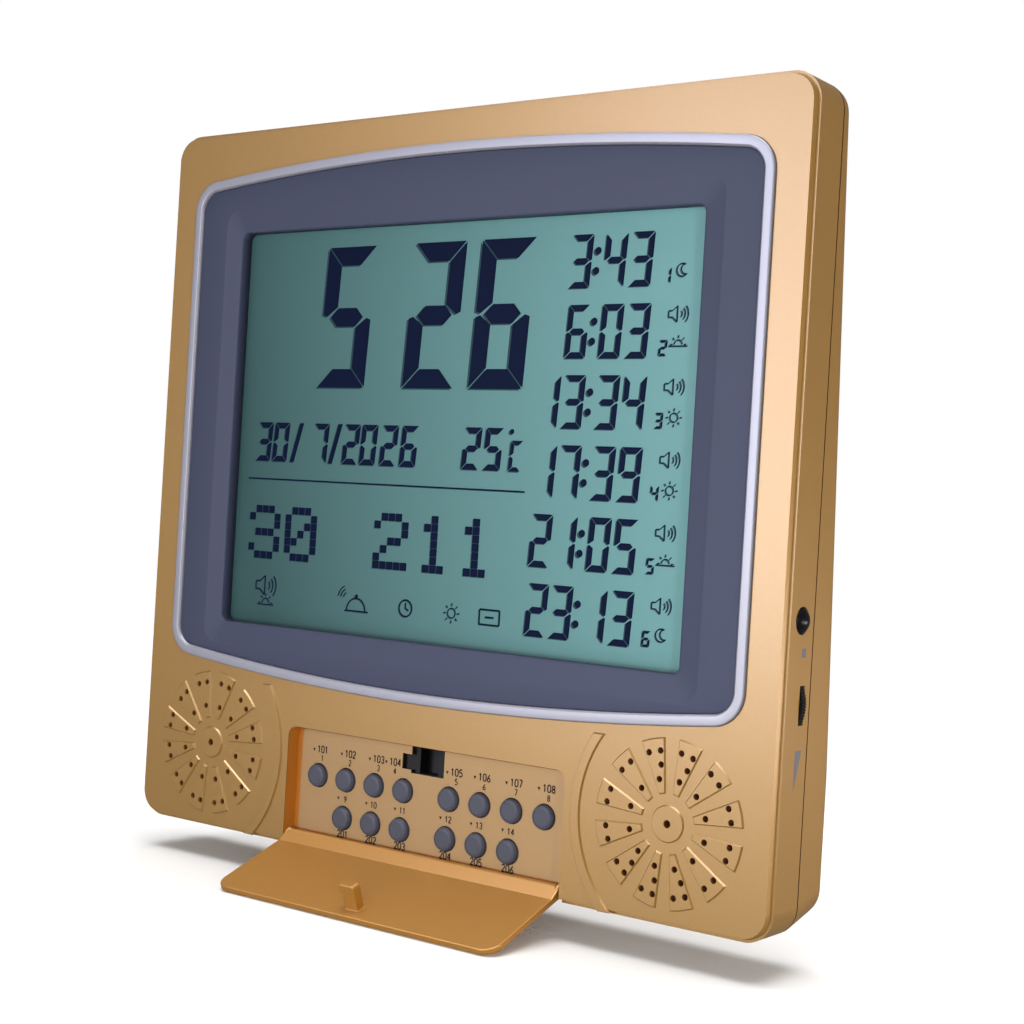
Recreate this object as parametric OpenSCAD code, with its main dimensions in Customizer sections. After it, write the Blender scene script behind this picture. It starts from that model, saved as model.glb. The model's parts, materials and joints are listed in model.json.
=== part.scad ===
// Wall and desk clock with a large display, two loudspeakers, a keypad behind a drop-down door,
// a stop button and a volume thumbwheel. Working frame of the modules: X right, Y into the clock
// from its front face, Z up from its base. hung() moves every piece so that the origin lies
// midway between the two wall keyholes, on the back.

/* [Case] */
// Width of the case
case_w = 226.5; // [222:0.5:236]
// Height of the case
case_h = 217; // [214:0.5:230]
// Radius of the case's four corners, seen from the front
case_corner_r = 8; // [6:0.5:12]
// Wall thickness of both shells
wall = 2.2; // [1.8:0.1:2.6]
// Depth of the front shell, from the front face to the seam
front_shell_depth = 14.3; // [13:0.1:15.5]
// Depth of the whole case at its foot
case_depth = 29.1; // [27.8:0.1:33]
// Height up to which the back stands upright before it leans forward
back_upright_h = 40; // [39.5:0.5:44]
// Depth of the rear shell at the top of the case
rear_top_depth = 4.35; // [4.2:0.05:10]
// Radius of the rear edges
rear_edge_r = 3; // [2:0.25:4]
// Slope of the rear shell's underside, in degrees
base_slope = 11; // [0:1:12]
// Width of the groove that shows between the two shells
seam_gap = 0.4; // [0.2:0.1:0.8]
// Distance from the case's outline to the foot of the raised front face
plateau_inset = 0.7; // [0.4:0.1:1.2]
// Further inset of the raised front face at its top
plateau_slope = 0.5; // [0.4:0.1:1.4]
// Height of the raised front face
plateau_h = 1.8; // [1.2:0.1:2.4]

/* [Display] */
// Distance from the case's sides to the silver trim ring
ring_side = 10.25; // [8.5:0.25:13]
// Height of the silver trim ring at its middle
ring_h = 160; // [156:0.5:162]
// Radius of the ring's bowed top and bottom
ring_bow_r = 830; // [600:10:1200]
// Radius of the ring's corners
ring_corner_r = 9.5; // [8:0.5:13]
// Width of the ring's band
ring_band = 3.2; // [2.4:0.1:4]
// Height of the ring above the front face
ring_proud = 0.9; // [0.4:0.1:1.2]
// Height of the display's middle above the base
display_z = 127; // [126:0.5:129]
// Depth of the bezel's flat face behind the front face
bezel_sink = 0; // [0:0.1:0.4]
// Distance that the bezel's outer edge reaches behind the front face
bezel_flange = 3.2; // [2:0.2:4]
// Thickness of the bezel's plate behind the front shell
bezel_plate = 1.4; // [1:0.1:1.8]
// Distance from the trim ring's sides to the display window
window_side = 20.2; // [18:0.1:22]
// Height of the display window
window_h = 120.8; // [114:0.4:123]
// Height of the window's middle below the display's middle
window_drop = 2.4; // [1:0.2:3]
// Radius of the window's corners
window_r = 2.4; // [1:0.2:4]
// Width of the sloping border at the window's sides
bevel_w = 5.7; // [4:0.1:6.5]
// Width of the sloping border above and below the window
bevel_h = 6.5; // [5:0.1:7]
// Depth of the sloping border at the window
bevel_depth = 0.9; // [0.6:0.1:1.6]
// Depth of the glass behind the front face
lcd_depth = 4.9; // [4.4:0.1:5.4]
// Overlap of the glass behind the window's edge
lcd_overlap = 3; // [2:0.5:4]
// Thickness of the display glass
lcd_t = 2.8; // [2:0.1:3.2]
// Thickness of the reflector behind the glass
reflector_t = 0.5; // [0.3:0.1:0.8]
// Thickness of the holder's rim round the glass
holder_rim = 4; // [3:0.5:5]
// Gap between the glass and the main board, filled by the strip connectors
lcd_to_board = 3.2; // [2.6:0.1:3.4]
// Width of a strip connector
strip_w = 2; // [1.6:0.1:2.4]

/* [Speakers] */
// Distance of each speaker outwards from halfway between the recess and the case's side
speaker_shift = 0.925; // [0.5:0.025:1.2]
// Height of the speakers above the base
speaker_z = 26.2; // [25.4:0.2:28]
// Radius of the outer ring of grille holes
grille_outer_r = 18.7; // [17:0.1:19.2]
// Radius of the inner ring of grille holes
grille_inner_r = 11.5; // [10.5:0.1:13]
// Diameter of a grille hole
grille_hole_d = 1.7; // [1.4:0.1:2]
// Diameter of the hole in the grille's middle
grille_mid_d = 2.1; // [1.6:0.1:2.6]
// Angle from a petal's middle to each of its outer holes, in degrees
grille_pair_angle = 5.4; // [4.6:0.1:6]
// Number of petals round each grille
petal_count = 12; // [12]
// Radius to the petals' inner ends
petal_inner_r = 8; // [7:0.1:9]
// Radius to the petals' outer ends
petal_outer_r = 21.7; // [20.6:0.1:22.5]
// Half width of a petal at its inner end
petal_inner_half = 0.7; // [0.5:0.1:1]
// Half width of a petal at its outer end
petal_outer_half = 3.3; // [3:0.1:3.8]
// Height of the petals above the front face
petal_h = 0.5; // [0.3:0.1:1.2]
// Radius of the raised disc in the grille's middle
grille_disc_r = 4.5; // [4:0.1:5]
// Distance from the recess's side to the curved rib beside each grille
rib_gap = 2.5; // [1.8:0.1:3.2]
// Distance from the speaker's middle outwards to the curved rib's centre
rib_shift = 7.7; // [6.5:0.1:9]
// Width of the curved rib
rib_w = 2.4; // [1.6:0.1:3]
// Height of the curved rib above the front face
rib_h = 0.6; // [0.3:0.1:1]
// Height of the curved rib's upper end above the speaker's middle
rib_top = 20.2; // [18:0.2:20.4]
// Outer radius of a speaker
speaker_r = 20; // [19:0.5:21]
// Depth of a speaker's basket
basket_depth = 7; // [5:0.5:9]
// Radius of a speaker's magnet
magnet_r = 10; // [8:0.5:12]
// Depth of a speaker's magnet
magnet_depth = 5; // [4:0.5:7]

/* [Keypad] */
// Width of the keypad recess
recess_w = 101; // [100:0.2:102]
// Height of the recess's top above the base
recess_top = 35.3; // [35:0.1:36.5]
// Radius of the recess's upper corners
recess_r = 3; // [1:0.5:4]
// Depth of the keypad's printed face behind the front face
keypad_depth = 4.4; // [4.2:0.1:4.6]
// Distance of the printed sheet's sides from the recess's walls
sheet_margin = 1.8; // [0.3:0.1:2.2]
// Thickness of the keypad's printed sheet
sheet_t = 0.3; // [0.2:0.1:0.4]
// Thickness of the recess's floor
floor_t = 1.2; // [1:0.1:1.3]
// Diameter of a key
key_d = 6.8; // [6:0.1:7.4]
// Height of a key above the keypad's face
key_proud = 1.7; // [1.2:0.1:1.9]
// Distance between neighbouring keys in a row
key_pitch = 11; // [10.8:0.1:11.4]
// Distance of the innermost keys from the middle
key_first_x = 8.4; // [8:0.1:8.8]
// Height of the upper row of keys above the base
key_row_z = 21.2; // [20.8:0.1:22]
// Distance between the two rows of keys
key_row_pitch = 11.3; // [10.8:0.1:11.6]
// Sideways shift of the lower row of keys
key_row_shift = -0.5; // [-0.8:0.1:0.4]
// Travel of a key
key_travel = 0.8; // [0.5:0.1:0.9]
// Width of the rim that stops a key from coming out
key_rim = 0.9; // [0.6:0.1:1.2]
// Thickness of a key's rim and of the rubber mat round it
key_rim_t = 0.8; // [0.6:0.1:1]
// Thickness of the key board
key_board_t = 0.9; // [0.8:0.1:1]
// Width of the latch opening
latch_w = 12; // [11:0.2:13]
// Height of the latch opening
latch_h = 8.6; // [8:0.1:9]

/* [Door] */
// Thickness of the door
door_t = 1.7; // [1.4:0.1:1.8]
// Length of the door from its hinge to its free edge
door_len = 32.1; // [31.5:0.1:32.2]
// Angle between the shut and the open door, in degrees
door_open = 110.6; // [95:0.1:112]
// Gap between the door and the recess's sides
door_gap = 0.5; // [0.3:0.05:0.7]
// Radius of the corners at the door's free edge
door_corner_r = 4.5; // [2:0.5:6]
// Height of the hinge above the base
hinge_z = 2.9; // [2.8:0.1:3.4]
// Depth of the hinge behind the front face
hinge_y = 2; // [1.9:0.05:2.2]
// Radius of the rolled edge along the hinge
barrel_r = 1.6; // [1.4:0.05:1.7]
// Radius of the round ears at the hinge's ends
ear_r = 1.9; // [1.8:0.05:2]
// Width of an ear
ear_w = 1.2; // [0.8:0.1:2]
// Radius of the hinge pins
pin_r = 1; // [0.8:0.05:1.1]
// Length of a hinge pin
pin_len = 1.8; // [1.2:0.1:2]
// Height of the door's hook
hook_h = 7.4; // [7:0.1:7.5]
// Width of the hook's neck
hook_w = 4.4; // [3.6:0.1:4.8]
// Depth of the door's hook, along the door
hook_l = 3; // [2.4:0.1:3.6]
// Distance of the hook's middle from the hinge
hook_pos = 27.5; // [26.6:0.1:27.8]
// Overhang of the hook's head
hook_lip = 1.2; // [0.8:0.1:1.4]
// Height of the hook's head
hook_head = 3.2; // [2.6:0.1:3.6]
// Length of the ramp from the hinge's rolled edge to the door's inner face
ramp_l = 4.6; // [3.6:0.1:5]

/* [Side controls] */
// Diameter of the stop button
stop_d = 6.6; // [6:0.1:7]
// Height of the stop button above the base
stop_z = 80.6; // [79:0.2:82]
// Depth of the stop button behind the front face
stop_y = 8.1; // [7.6:0.1:8.2]
// Height of the stop button's dome above the side wall
stop_proud = 1.6; // [1.2:0.1:2]
// Travel of the stop button
stop_travel = 0.8; // [0.4:0.1:0.9]
// Diameter of the volume wheel
wheel_d = 22; // [20:0.5:23]
// Thickness of the volume wheel
wheel_t = 2.2; // [1.8:0.1:2.4]
// Distance that the wheel stands out of the side wall
wheel_proud = 0.8; // [0.4:0.1:0.9]
// Height of the volume wheel above the base
wheel_z = 59.3; // [58:0.1:60]
// Depth of the volume wheel behind the front face
wheel_y = 10.2; // [9.8:0.05:10.4]
// Length of the wheel's slot
slot_len = 10; // [9.6:0.1:11]
// Number of ridges round the wheel
wheel_ridges = 90; // [60:1:100]
// Depth of the ridges
ridge_depth = 0.2; // [0.1:0.05:0.25]
// Radius of the post that the wheel turns on
post_r = 1.5; // [1.2:0.1:1.8]
// Radius of the volume control's body
pot_r = 4.5; // [4:0.1:5]
// Thickness of the side board
side_board_t = 1.2; // [1:0.1:1.4]
// Height of the side board
side_board_h = 50; // [49:0.5:52]
// Radius of the posts that carry the side board
post_side_r = 1.3; // [1.1:0.1:1.4]

/* [Battery compartment] */
// Diameter of a cell
cell_d = 14.2; // [13.9:0.1:14.3]
// Length of a cell with its button
cell_len = 50.2; // [49.6:0.1:50.5]
// Room for the contacts at each end of a row
contact_room = 4; // [3.4:0.1:5]
// Thickness of the compartment's walls
box_wall = 1; // [0.8:0.1:1]
// Thickness of the battery cover
cover_t = 1.6; // [1.4:0.1:1.6]
// Height of the compartment's lower edge above the base
box_z = 7.2; // [7:0.1:7.4]
// Radius of the battery cover's corners
cover_r = 2; // [1:0.25:3]
// Radius of the battery cover's pivots
pivot_r = 0.5; // [0.4:0.05:0.55]
// Opening angle of the battery cover, in degrees
cover_open = 75; // [60:5:90]

/* [Wall mount] */
// Distance between the two keyholes
keyhole_spacing = 100; // [80:1:120]
// Height of the keyholes' round ends above the base
keyhole_z = 196; // [192:1:198]
// Radius of a keyhole's round end
keyhole_r = 4.5; // [4:0.1:5]
// Half width of a keyhole's slot
keyslot_r = 2.2; // [2:0.1:2.4]
// Length of a keyhole's slot above its round end
keyslot_len = 7; // [6:0.5:8]

/* [Fixings] */
// Outer radius of a screw pillar
pillar_r = 3.6; // [3.4:0.1:4.2]
// Radius of a case screw's shank
screw_r = 1.3; // [1.2:0.05:1.4]
// Radius of a case screw's head
screw_head_r = 2.6; // [2.4:0.1:2.8]
// Height of a case screw's head
screw_head_t = 1.8; // [1.5:0.1:2]
// Distance of the pillars from the case's sides
pillar_inset = 8.2; // [8:0.1:9]
// Depth of the wells that the screws sit in, measured from the pillar's end
screw_seat = 1.6; // [1.4:0.1:2]

/* [Clearances] */
// Clearance between fixed pieces that slip into each other
slip = 0.15; // [0.1:0.01:0.2]
// Radial clearance of the hinge pins and of the wheel on its post
running = 0.06; // [0.03:0.01:0.09]
// Gap round the keys, the button and the door
gap = 0.25; // [0.2:0.01:0.35]
// Gap round the cells
cell_gap = 0.3; // [0.2:0.05:0.4]

/* [Hidden] */
$fn = 72;
eps = 0.01;

gold = [0.76, 0.58, 0.36];
gold_sheet = [0.74, 0.62, 0.43];
gold_door = [0.75, 0.53, 0.24];
silver = [0.84, 0.84, 0.88];
slate = [0.32, 0.34, 0.40];
key_grey = [0.36, 0.38, 0.46];
lcd_green = [0.40, 0.62, 0.60];
board_green = [0.10, 0.35, 0.20];
copper = [0.80, 0.50, 0.30];
steel = [0.70, 0.70, 0.72];
black = [0.06, 0.06, 0.07];

// back of the case
seam_y = front_shell_depth;
rear_y = seam_y + seam_gap;
back_lean = atan((case_depth - rear_y - rear_top_depth) / (case_h - back_upright_h));
function back_y(z) = case_depth - max(0, z - back_upright_h) * tan(back_lean);
hang_y = back_y(keyhole_z);
// display stack, from front to back
ring_w = case_w - 2 * ring_side;
window_w = ring_w - 2 * window_side;
window_z = display_z - window_drop;
lcd_w = window_w + 2 * lcd_overlap;
lcd_h = window_h + 2 * lcd_overlap;
holder_w = lcd_w + 2 * holder_rim;
holder_h = lcd_h + 2 * holder_rim;
board_y = lcd_depth + lcd_t + lcd_to_board;
board_t = 1.6;
// keypad stack, from front to back
floor_y = keypad_depth + sheet_t;
rim_y = floor_y + floor_t;
key_board_y = rim_y + key_rim_t + key_travel + slip;
keypad_back = key_board_y + key_board_t;
recess_wall = 1.6;
keypad_w = recess_w - 2 * gap;
door_w = recess_w - 2 * door_gap;
sheet_bottom = hinge_z + barrel_r;
keypad_bottom = hinge_z + ear_r + gap;
key_hole_r = key_d / 2 + gap;
hook_left = -hook_w / 2 - hook_lip;
ribbon_x = 20;
ribbon_w = 18;
ribbon_t = 0.2;
// speakers, their ribs and their leads
speaker_x = (case_w / 2 + recess_w / 2) / 2 + speaker_shift;
rib_x = speaker_x + rib_shift;
rib_r = rib_x - recess_w / 2 - rib_gap - rib_w;
lead_r = 0.6;
lead_top = window_z - holder_h / 2 + 18;
lead_x = [holder_w / 2 - 27.8, holder_w / 2 - 37.8];
// battery compartment: two rows of two cells
row_pitch = cell_d + 2 * cell_gap;
box_w = 2 * cell_len + 2 * contact_room;
box_h = 2 * row_pitch;
cell_y = case_depth - cover_t - cell_gap - cell_d / 2;
box_front = cell_y - cell_d / 2 - cell_gap;
cover_lip = 1.6;
cover_w = box_w + 2 * cover_lip;
cover_bottom = box_z - cover_lip;
cover_h = box_h + 2 * cover_lip;
pivot_y = case_depth - cover_t / 2;
pivot_z = cover_bottom + cover_t / 2;
pivot_x = cover_w / 2;
pivot_len = 1.2;
// side controls
side_x = case_w / 2;
wheel_x = side_x + wheel_proud - wheel_d / 2;
side_board_y = wheel_y + wheel_t / 2 + 1.4;
side_board_w = 14;
side_board_z = (stop_z + wheel_z) / 2;
side_board_x = side_x - wall - slip - 1.3 - side_board_w / 2;
side_posts = [for (s = [-1, 1]) [side_x - wall - 2.9, side_board_z + s * (side_board_h / 2 - 1.6)]];
switch_w = 6;
switch_l = 4;
flange_t = 0.9;
flange_extra = 0.9;
stop_inner_x = side_x - wall - flange_t;
// screws
pillar_x = case_w / 2 - pillar_inset;
pillar_zs = [pillar_inset, case_h - pillar_inset];
pillar_spots = [for (s = [-1, 1], z = pillar_zs) [s * pillar_x, z]];
pillar_top = seam_y - 1.5;
board_screw_spots = [for (sx = [-1, 1], sz = [-1, 1])
    [sx * (holder_w / 2 - 2), window_z + sz * (holder_h / 2 - 2)]];

module hung() translate([0, -hang_y, -keyhole_z]) children();

// flat shapes are drawn in X and Z and given their depth along Y
module along_y(y0, y1) translate([0, y1, 0]) rotate([90, 0, 0]) linear_extrude(y1 - y0) children();
module rod_y(r, y0, y1, x, z) translate([x, y1, z]) rotate([90, 0, 0]) cylinder(r = r, h = y1 - y0);
module rod_x(r, x0, x1, y, z) translate([x0, y, z]) rotate([0, 90, 0]) cylinder(r = r, h = x1 - x0);
module block(x0, x1, y0, y1, z0, z1) translate([x0, y0, z0]) cube([x1 - x0, y1 - y0, z1 - z0]);

module rounded(w, h, r) {
    square([w - 2 * r, h], center = true);
    square([w, h - 2 * r], center = true);
    for (x = [-1, 1], y = [-1, 1]) translate([x * (w / 2 - r), y * (h / 2 - r)]) circle(r = r);
}

module case_outline(inset = 0) {
    translate([0, case_h / 2]) rounded(case_w - 2 * inset, case_h - 2 * inset, case_corner_r - inset);
}

// outline with bowed top and bottom and straight sides, drawn inset from the trim ring's edge
module bowed(inset = 0) {
    w = ring_w / 2 - inset;
    h = ring_h / 2 - inset;
    big = ring_bow_r - inset;
    r = max(0.5, ring_corner_r - inset);
    cx = w - r;
    cz = h - big + sqrt((big - r) * (big - r) - cx * cx);
    tx = cx * big / (big - r);
    translate([0, display_z]) {
        square([2 * w, 2 * cz], center = true);
        intersection() {
            square([2 * tx, 2 * h], center = true);
            translate([0, h - big]) circle(r = big, $fn = 720);
            translate([0, big - h]) circle(r = big, $fn = 720);
        }
        for (x = [-1, 1], z = [-1, 1]) translate([x * cx, z * cz]) circle(r = r);
    }
}

// ---- rear shell's outer form: a rounded block whose upper back leans and whose underside rises
// outline from z0 to z1, clipped to the heights from low to high
module clipped(inset, z0, z1, low, high) {
    r = max(0.4, case_corner_r - inset);
    intersection() {
        translate([0, (z0 + z1) / 2]) rounded(case_w - 2 * inset, z1 - z0 - 2 * inset, r);
        translate([-case_w, low]) square([2 * case_w, high - low]);
    }
}

module rear_form(y0, inset, r) {
    y1 = case_depth - inset;
    rise = (case_depth - rear_y) * tan(base_slope);
    top = back_upright_h + (case_h - back_upright_h) / cos(back_lean);
    lean_z = back_upright_h;
    t = 0.4;
    hull() {
        along_y(y0, y0 + t) case_outline(inset, $fn = 40);
        for (a = [0 : 22.5 : 90]) {
            in = inset + r * (1 - cos(a));
            y = y1 - r + r * sin(a);
            along_y(y - t, y) clipped(in, rise, 3 * lean_z, -1, lean_z, $fn = 40);
            translate([0, y1, lean_z]) rotate([back_lean, 0, 0]) translate([0, -y1, -lean_z])
                along_y(y - t, y) clipped(in, 0, top, lean_z + 5, 2 * case_h, $fn = 40);
        }
    }
}

// ---- shells
module grille_petal() {
    outer = petal_outer_r;
    intersection() {
        polygon([[-petal_inner_half, petal_inner_r], [petal_inner_half, petal_inner_r],
                 [petal_outer_half * 1.05, outer * 1.05], [-petal_outer_half * 1.05, outer * 1.05]]);
        circle(r = outer);
    }
}

module grille_raised() {
    for (k = [0 : petal_count - 1]) rotate(15 + k * 360 / petal_count) grille_petal();
    circle(r = grille_disc_r);
}

// extra holes in some petals of the right grille, given by the petal's angle clockwise from the top
function extra_holes(side) = side > 0 ? [-15, 15, 165, 195, 225] : [];

module grille_holes(side) {
    for (k = [0 : petal_count - 1], a = [-1, 1])
        rotate(15 + k * 360 / petal_count + a * grille_pair_angle)
            translate([0, grille_outer_r]) circle(d = grille_hole_d, $fn = 24);
    for (k = [0 : petal_count - 1])
        rotate(15 + k * 360 / petal_count) translate([0, grille_inner_r]) circle(d = grille_hole_d, $fn = 24);
    for (a = extra_holes(side))
        rotate(-a + (a < 90 ? -4.6 : 4.6))
            translate([0, (grille_outer_r + grille_inner_r) / 2]) circle(d = grille_hole_d, $fn = 24);
    circle(d = grille_mid_d, $fn = 24);
}

module curved_rib(side) {
    translate([side * rib_x, speaker_z]) difference() {
        circle(r = rib_r + rib_w, $fn = 180);
        circle(r = rib_r, $fn = 180);
        translate([side * rib_r, 0]) square([3 * rib_r, 3 * rib_r], center = true);
        translate([-1.5 * rib_r, rib_top]) square([3 * rib_r, rib_r]);
        translate([-1.5 * rib_r, 0.6 - speaker_z - rib_r]) square([3 * rib_r, rib_r]);
    }
}

module recess_outline(extra = 0) {
    w = recess_w + 2 * extra;
    h = recess_top + extra;
    r = recess_r + extra;
    translate([-w / 2, -1]) square([w, h + 1 - r]);
    translate([-w / 2 + r, 0]) square([w - 2 * r, h]);
    for (x = [-1, 1]) translate([x * (w / 2 - r), h - r]) circle(r = r);
}

module latch_outline() {
    translate([-latch_w / 2, recess_top - latch_h]) square([latch_w, latch_h]);
    translate([-latch_w / 2 - 3.4, recess_top - latch_h + 0.9]) square([3.5, 4.4]);
}

function key_spots() = concat(
    [for (s = [-1, 1], k = [0 : 3]) [s * (key_first_x + k * key_pitch), key_row_z]],
    [for (s = [-1, 1], k = [0 : 2])
        [s * (key_first_x + k * key_pitch) + key_row_shift, key_row_z - key_row_pitch]]
);

module keypad_face() {
    w = recess_w - 2 * sheet_margin;
    translate([-w / 2, sheet_bottom]) square([w, recess_top - gap - sheet_bottom]);
}

module key_holes(r) {
    for (p = key_spots()) translate(p) circle(r = r);
}

module front_case() hung() color(gold) difference() {
    union() {
        difference() {
            union() {
                along_y(plateau_h, seam_y) case_outline();
                hull() {
                    along_y(0, eps) case_outline(plateau_inset + plateau_slope);
                    along_y(plateau_h, plateau_h + eps) case_outline(plateau_inset);
                }
            }
            along_y(wall, seam_y + 1) case_outline(wall);
        }
        for (s = [-1, 1]) {
            translate([s * speaker_x, 0, speaker_z]) along_y(-petal_h, eps) grille_raised();
            along_y(-rib_h, eps) curved_rib(s);
            rod_y(speaker_r + 1.4, wall - eps, wall + 1.6, s * speaker_x, speaker_z);
        }
        along_y(wall - eps, rim_y) intersection() {
            recess_outline(recess_wall);
            case_outline();
        }
        for (p = pillar_spots) rod_y(pillar_r, wall - eps, pillar_top, p[0], p[1]);
        for (p = side_posts) rod_y(post_side_r, wall - eps, side_board_y, p[0], p[1]);
    }
    // opening for the ring and the bezel
    along_y(-1, wall + 1) bowed(0);
    // keypad recess, its floor, the key holes and the latch opening
    along_y(-1, keypad_depth + sheet_t) recess_outline();
    along_y(keypad_depth, rim_y + 1) key_holes(key_hole_r);
    along_y(keypad_depth, rim_y + 1) latch_outline();
    // hinge pin holes in the recess's side walls
    rod_x(pin_r + running, -recess_w / 2 - pin_len - 0.4, recess_w / 2 + pin_len + 0.4, hinge_y, hinge_z);
    // speaker seats and grille holes
    for (s = [-1, 1]) {
        rod_y(speaker_r + slip, wall, wall + 3, s * speaker_x, speaker_z);
        translate([s * speaker_x, 0, speaker_z]) along_y(-petal_h - 1, wall + 1) grille_holes(s);
    }
    // side controls
    rod_x(stop_d / 2 + gap, side_x - wall - 1, side_x + 1, stop_y, stop_z);
    block(side_x - wall - 1, side_x + 1, wheel_y - wheel_t / 2 - gap, wheel_y + wheel_t / 2 + gap,
          wheel_z - slot_len / 2, wheel_z + slot_len / 2);
    rod_y(wheel_d / 2 + gap, wheel_y - wheel_t / 2 - gap, wheel_y + wheel_t / 2 + gap, wheel_x, wheel_z);
    // pilot holes
    for (p = pillar_spots) rod_y(screw_r + running, pillar_top - 9, pillar_top + 1, p[0], p[1]);
}

module keyhole() {
    circle(r = keyhole_r);
    translate([-keyslot_r, 0]) square([2 * keyslot_r, keyslot_len]);
    translate([0, keyslot_len]) circle(r = keyslot_r);
}

// the cover's outline has square lower corners, for its hinge, and round upper corners
module cover_outline(extra = 0) {
    w = cover_w / 2 + extra;
    r = cover_r + extra;
    top = cover_bottom + cover_h + extra;
    translate([-w, cover_bottom - extra]) square([2 * w, cover_h + 2 * extra - r]);
    translate([-w + r, top - 2 * r]) square([2 * w - 2 * r, 2 * r]);
    for (x = [-1, 1]) translate([x * (w - r), top - r]) circle(r = r);
}

module rear_cover() hung() color(gold) difference() {
    union() {
        difference() {
            rear_form(rear_y, 0, rear_edge_r);
            rear_form(rear_y - 3, wall, max(0.5, rear_edge_r - wall));
        }
        // lip that slips into the front shell
        along_y(seam_y - 1.8, rear_y + 1.5) difference() {
            case_outline(wall + slip);
            case_outline(wall + slip + 1);
        }
        // battery compartment
        block(-box_w / 2 - box_wall, box_w / 2 + box_wall, box_front - box_wall, case_depth - wall + eps,
              box_z - box_wall, box_z + box_h + box_wall);
        intersection() {
            along_y(case_depth - cover_t - 1.4, case_depth - wall + eps) cover_outline(1.2);
            along_y(rear_y, case_depth) case_outline(wall / 2);
        }
        // screw pillars
        for (p = pillar_spots) rod_y(pillar_r, pillar_top, back_y(p[1]) - wall / 2, p[0], p[1]);
    }
    block(-box_w / 2, box_w / 2, box_front, case_depth + 1, box_z, box_z + box_h);
    along_y(case_depth - cover_t - slip, case_depth + 1) cover_outline(slip);
    rod_x(pivot_r + running, -pivot_x - pivot_len - 0.3, pivot_x + pivot_len + 0.3, pivot_y, pivot_z);
    for (p = pillar_spots) {
        rod_y(screw_r + 0.3, pillar_top - 1, case_depth + 1, p[0], p[1]);
        rod_y(screw_head_r + 0.4, pillar_top + screw_seat, case_depth + 1, p[0], p[1]);
    }
    for (s = [-1, 1]) translate([s * keyhole_spacing / 2, 0, keyhole_z]) along_y(hang_y - 6, hang_y + 3) keyhole();
}

// ---- display
module trim_ring() hung() color(silver) along_y(-ring_proud, wall) difference() {
    bowed(slip);
    bowed(ring_band);
}

module bevel_outline(side, top) {
    translate([0, window_z]) rounded(window_w + 2 * side, window_h + 2 * top, window_r + side / 3);
}

module display_bezel() hung() color(slate) difference() {
    union() {
        along_y(bezel_sink, wall + eps) bowed(ring_band + slip);
        along_y(wall, wall + bezel_plate) bowed(-bezel_flange);
        along_y(wall, lcd_depth) bevel_outline(2, 2);
    }
    hull() {
        along_y(bezel_sink - 1, bezel_sink) bevel_outline(bevel_w, bevel_h);
        along_y(bezel_sink + bevel_depth, bezel_sink + bevel_depth + eps) bevel_outline(0, 0);
    }
    along_y(bezel_sink, lcd_depth + 1) bevel_outline(0, 0);
}

module lcd_panel() hung() color(lcd_green) {
    along_y(lcd_depth, lcd_depth + lcd_t) translate([0, window_z]) square([lcd_w, lcd_h], center = true);
}

module lcd_reflector() hung() color("whitesmoke") {
    y = lcd_depth + lcd_t;
    along_y(y, y + reflector_t) translate([0, window_z]) square([lcd_w - 4 * strip_w, lcd_h - 4 * strip_w], center = true);
}

module lcd_holder() hung() color("white") difference() {
    union() {
        along_y(lcd_depth, board_y) translate([0, window_z]) square([holder_w, holder_h], center = true);
        for (p = board_screw_spots) rod_y(1.8, wall + bezel_plate, lcd_depth + eps, p[0], p[1]);
    }
    along_y(lcd_depth - 1, lcd_depth + lcd_t) translate([0, window_z])
        square([lcd_w + 2 * slip, lcd_h + 2 * slip], center = true);
    along_y(lcd_depth, board_y + 1) translate([0, window_z])
        square([lcd_w - 4 * strip_w + 2 * slip, lcd_h + 2 * slip], center = true);
    for (p = board_screw_spots) rod_y(0.9, board_y - 3, board_y + 1, p[0], p[1]);
}

module strip_connectors() hung() color("pink") {
    for (s = [-1, 1]) along_y(lcd_depth + lcd_t, board_y)
        translate([0, window_z + s * (lcd_h / 2 - strip_w)])
            square([lcd_w - 4 * strip_w, strip_w], center = true);
}

module main_board() hung() color(board_green) along_y(board_y, board_y + board_t) difference() {
    translate([0, window_z]) square([holder_w, holder_h], center = true);
    for (p = board_screw_spots) translate(p) circle(r = 1.1, $fn = 24);
}

// one chip, drawn from its middle on the back of the main board
module chip(x, z, w, h, t) {
    y = board_y + board_t;
    block(x - w / 2, x + w / 2, y, y + t, window_z + z - h / 2, window_z + z + h / 2);
}

module board_parts() hung() color(black) {
    chip(0, 10, 22, 22, 1.6);
    chip(-34, 14, 12, 9, 1.8);
    chip(-34, -12, 9, 7, 1.6);
    chip(40, -30, 13, 9, 2);
    chip(34, 20, 11, 4, 2.4);
    chip(0, -56, 26, 5, 2.4);
    for (x = [-62, -52, 62, 52]) rod_y(2.6, board_y + board_t, board_y + board_t + 2.8, x, window_z - 44);
}

module board_screws() hung() color(steel) for (p = board_screw_spots) {
    rod_y(0.85, board_y - 2.6, board_y + board_t + eps, p[0], p[1]);
    rod_y(1.8, board_y + board_t, board_y + board_t + 1.2, p[0], p[1]);
}

// ---- keypad
module keypad_sheet() hung() color(gold_sheet) along_y(keypad_depth, keypad_depth + sheet_t) difference() {
    keypad_face();
    key_holes(key_hole_r);
    latch_outline();
}

module keypad_layer(inset) {
    difference() {
        translate([-keypad_w / 2 + inset, keypad_bottom])
            square([keypad_w - 2 * inset, recess_top - keypad_bottom]);
        translate([-latch_w / 2 - 4, recess_top - latch_h - 1]) square([latch_w + 8, latch_h + 2]);
    }
}

module key_mat() hung() color("dimgray") along_y(rim_y, rim_y + key_rim_t) difference() {
    keypad_layer(1);
    key_holes(key_d / 2 + key_rim + gap);
}

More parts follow.
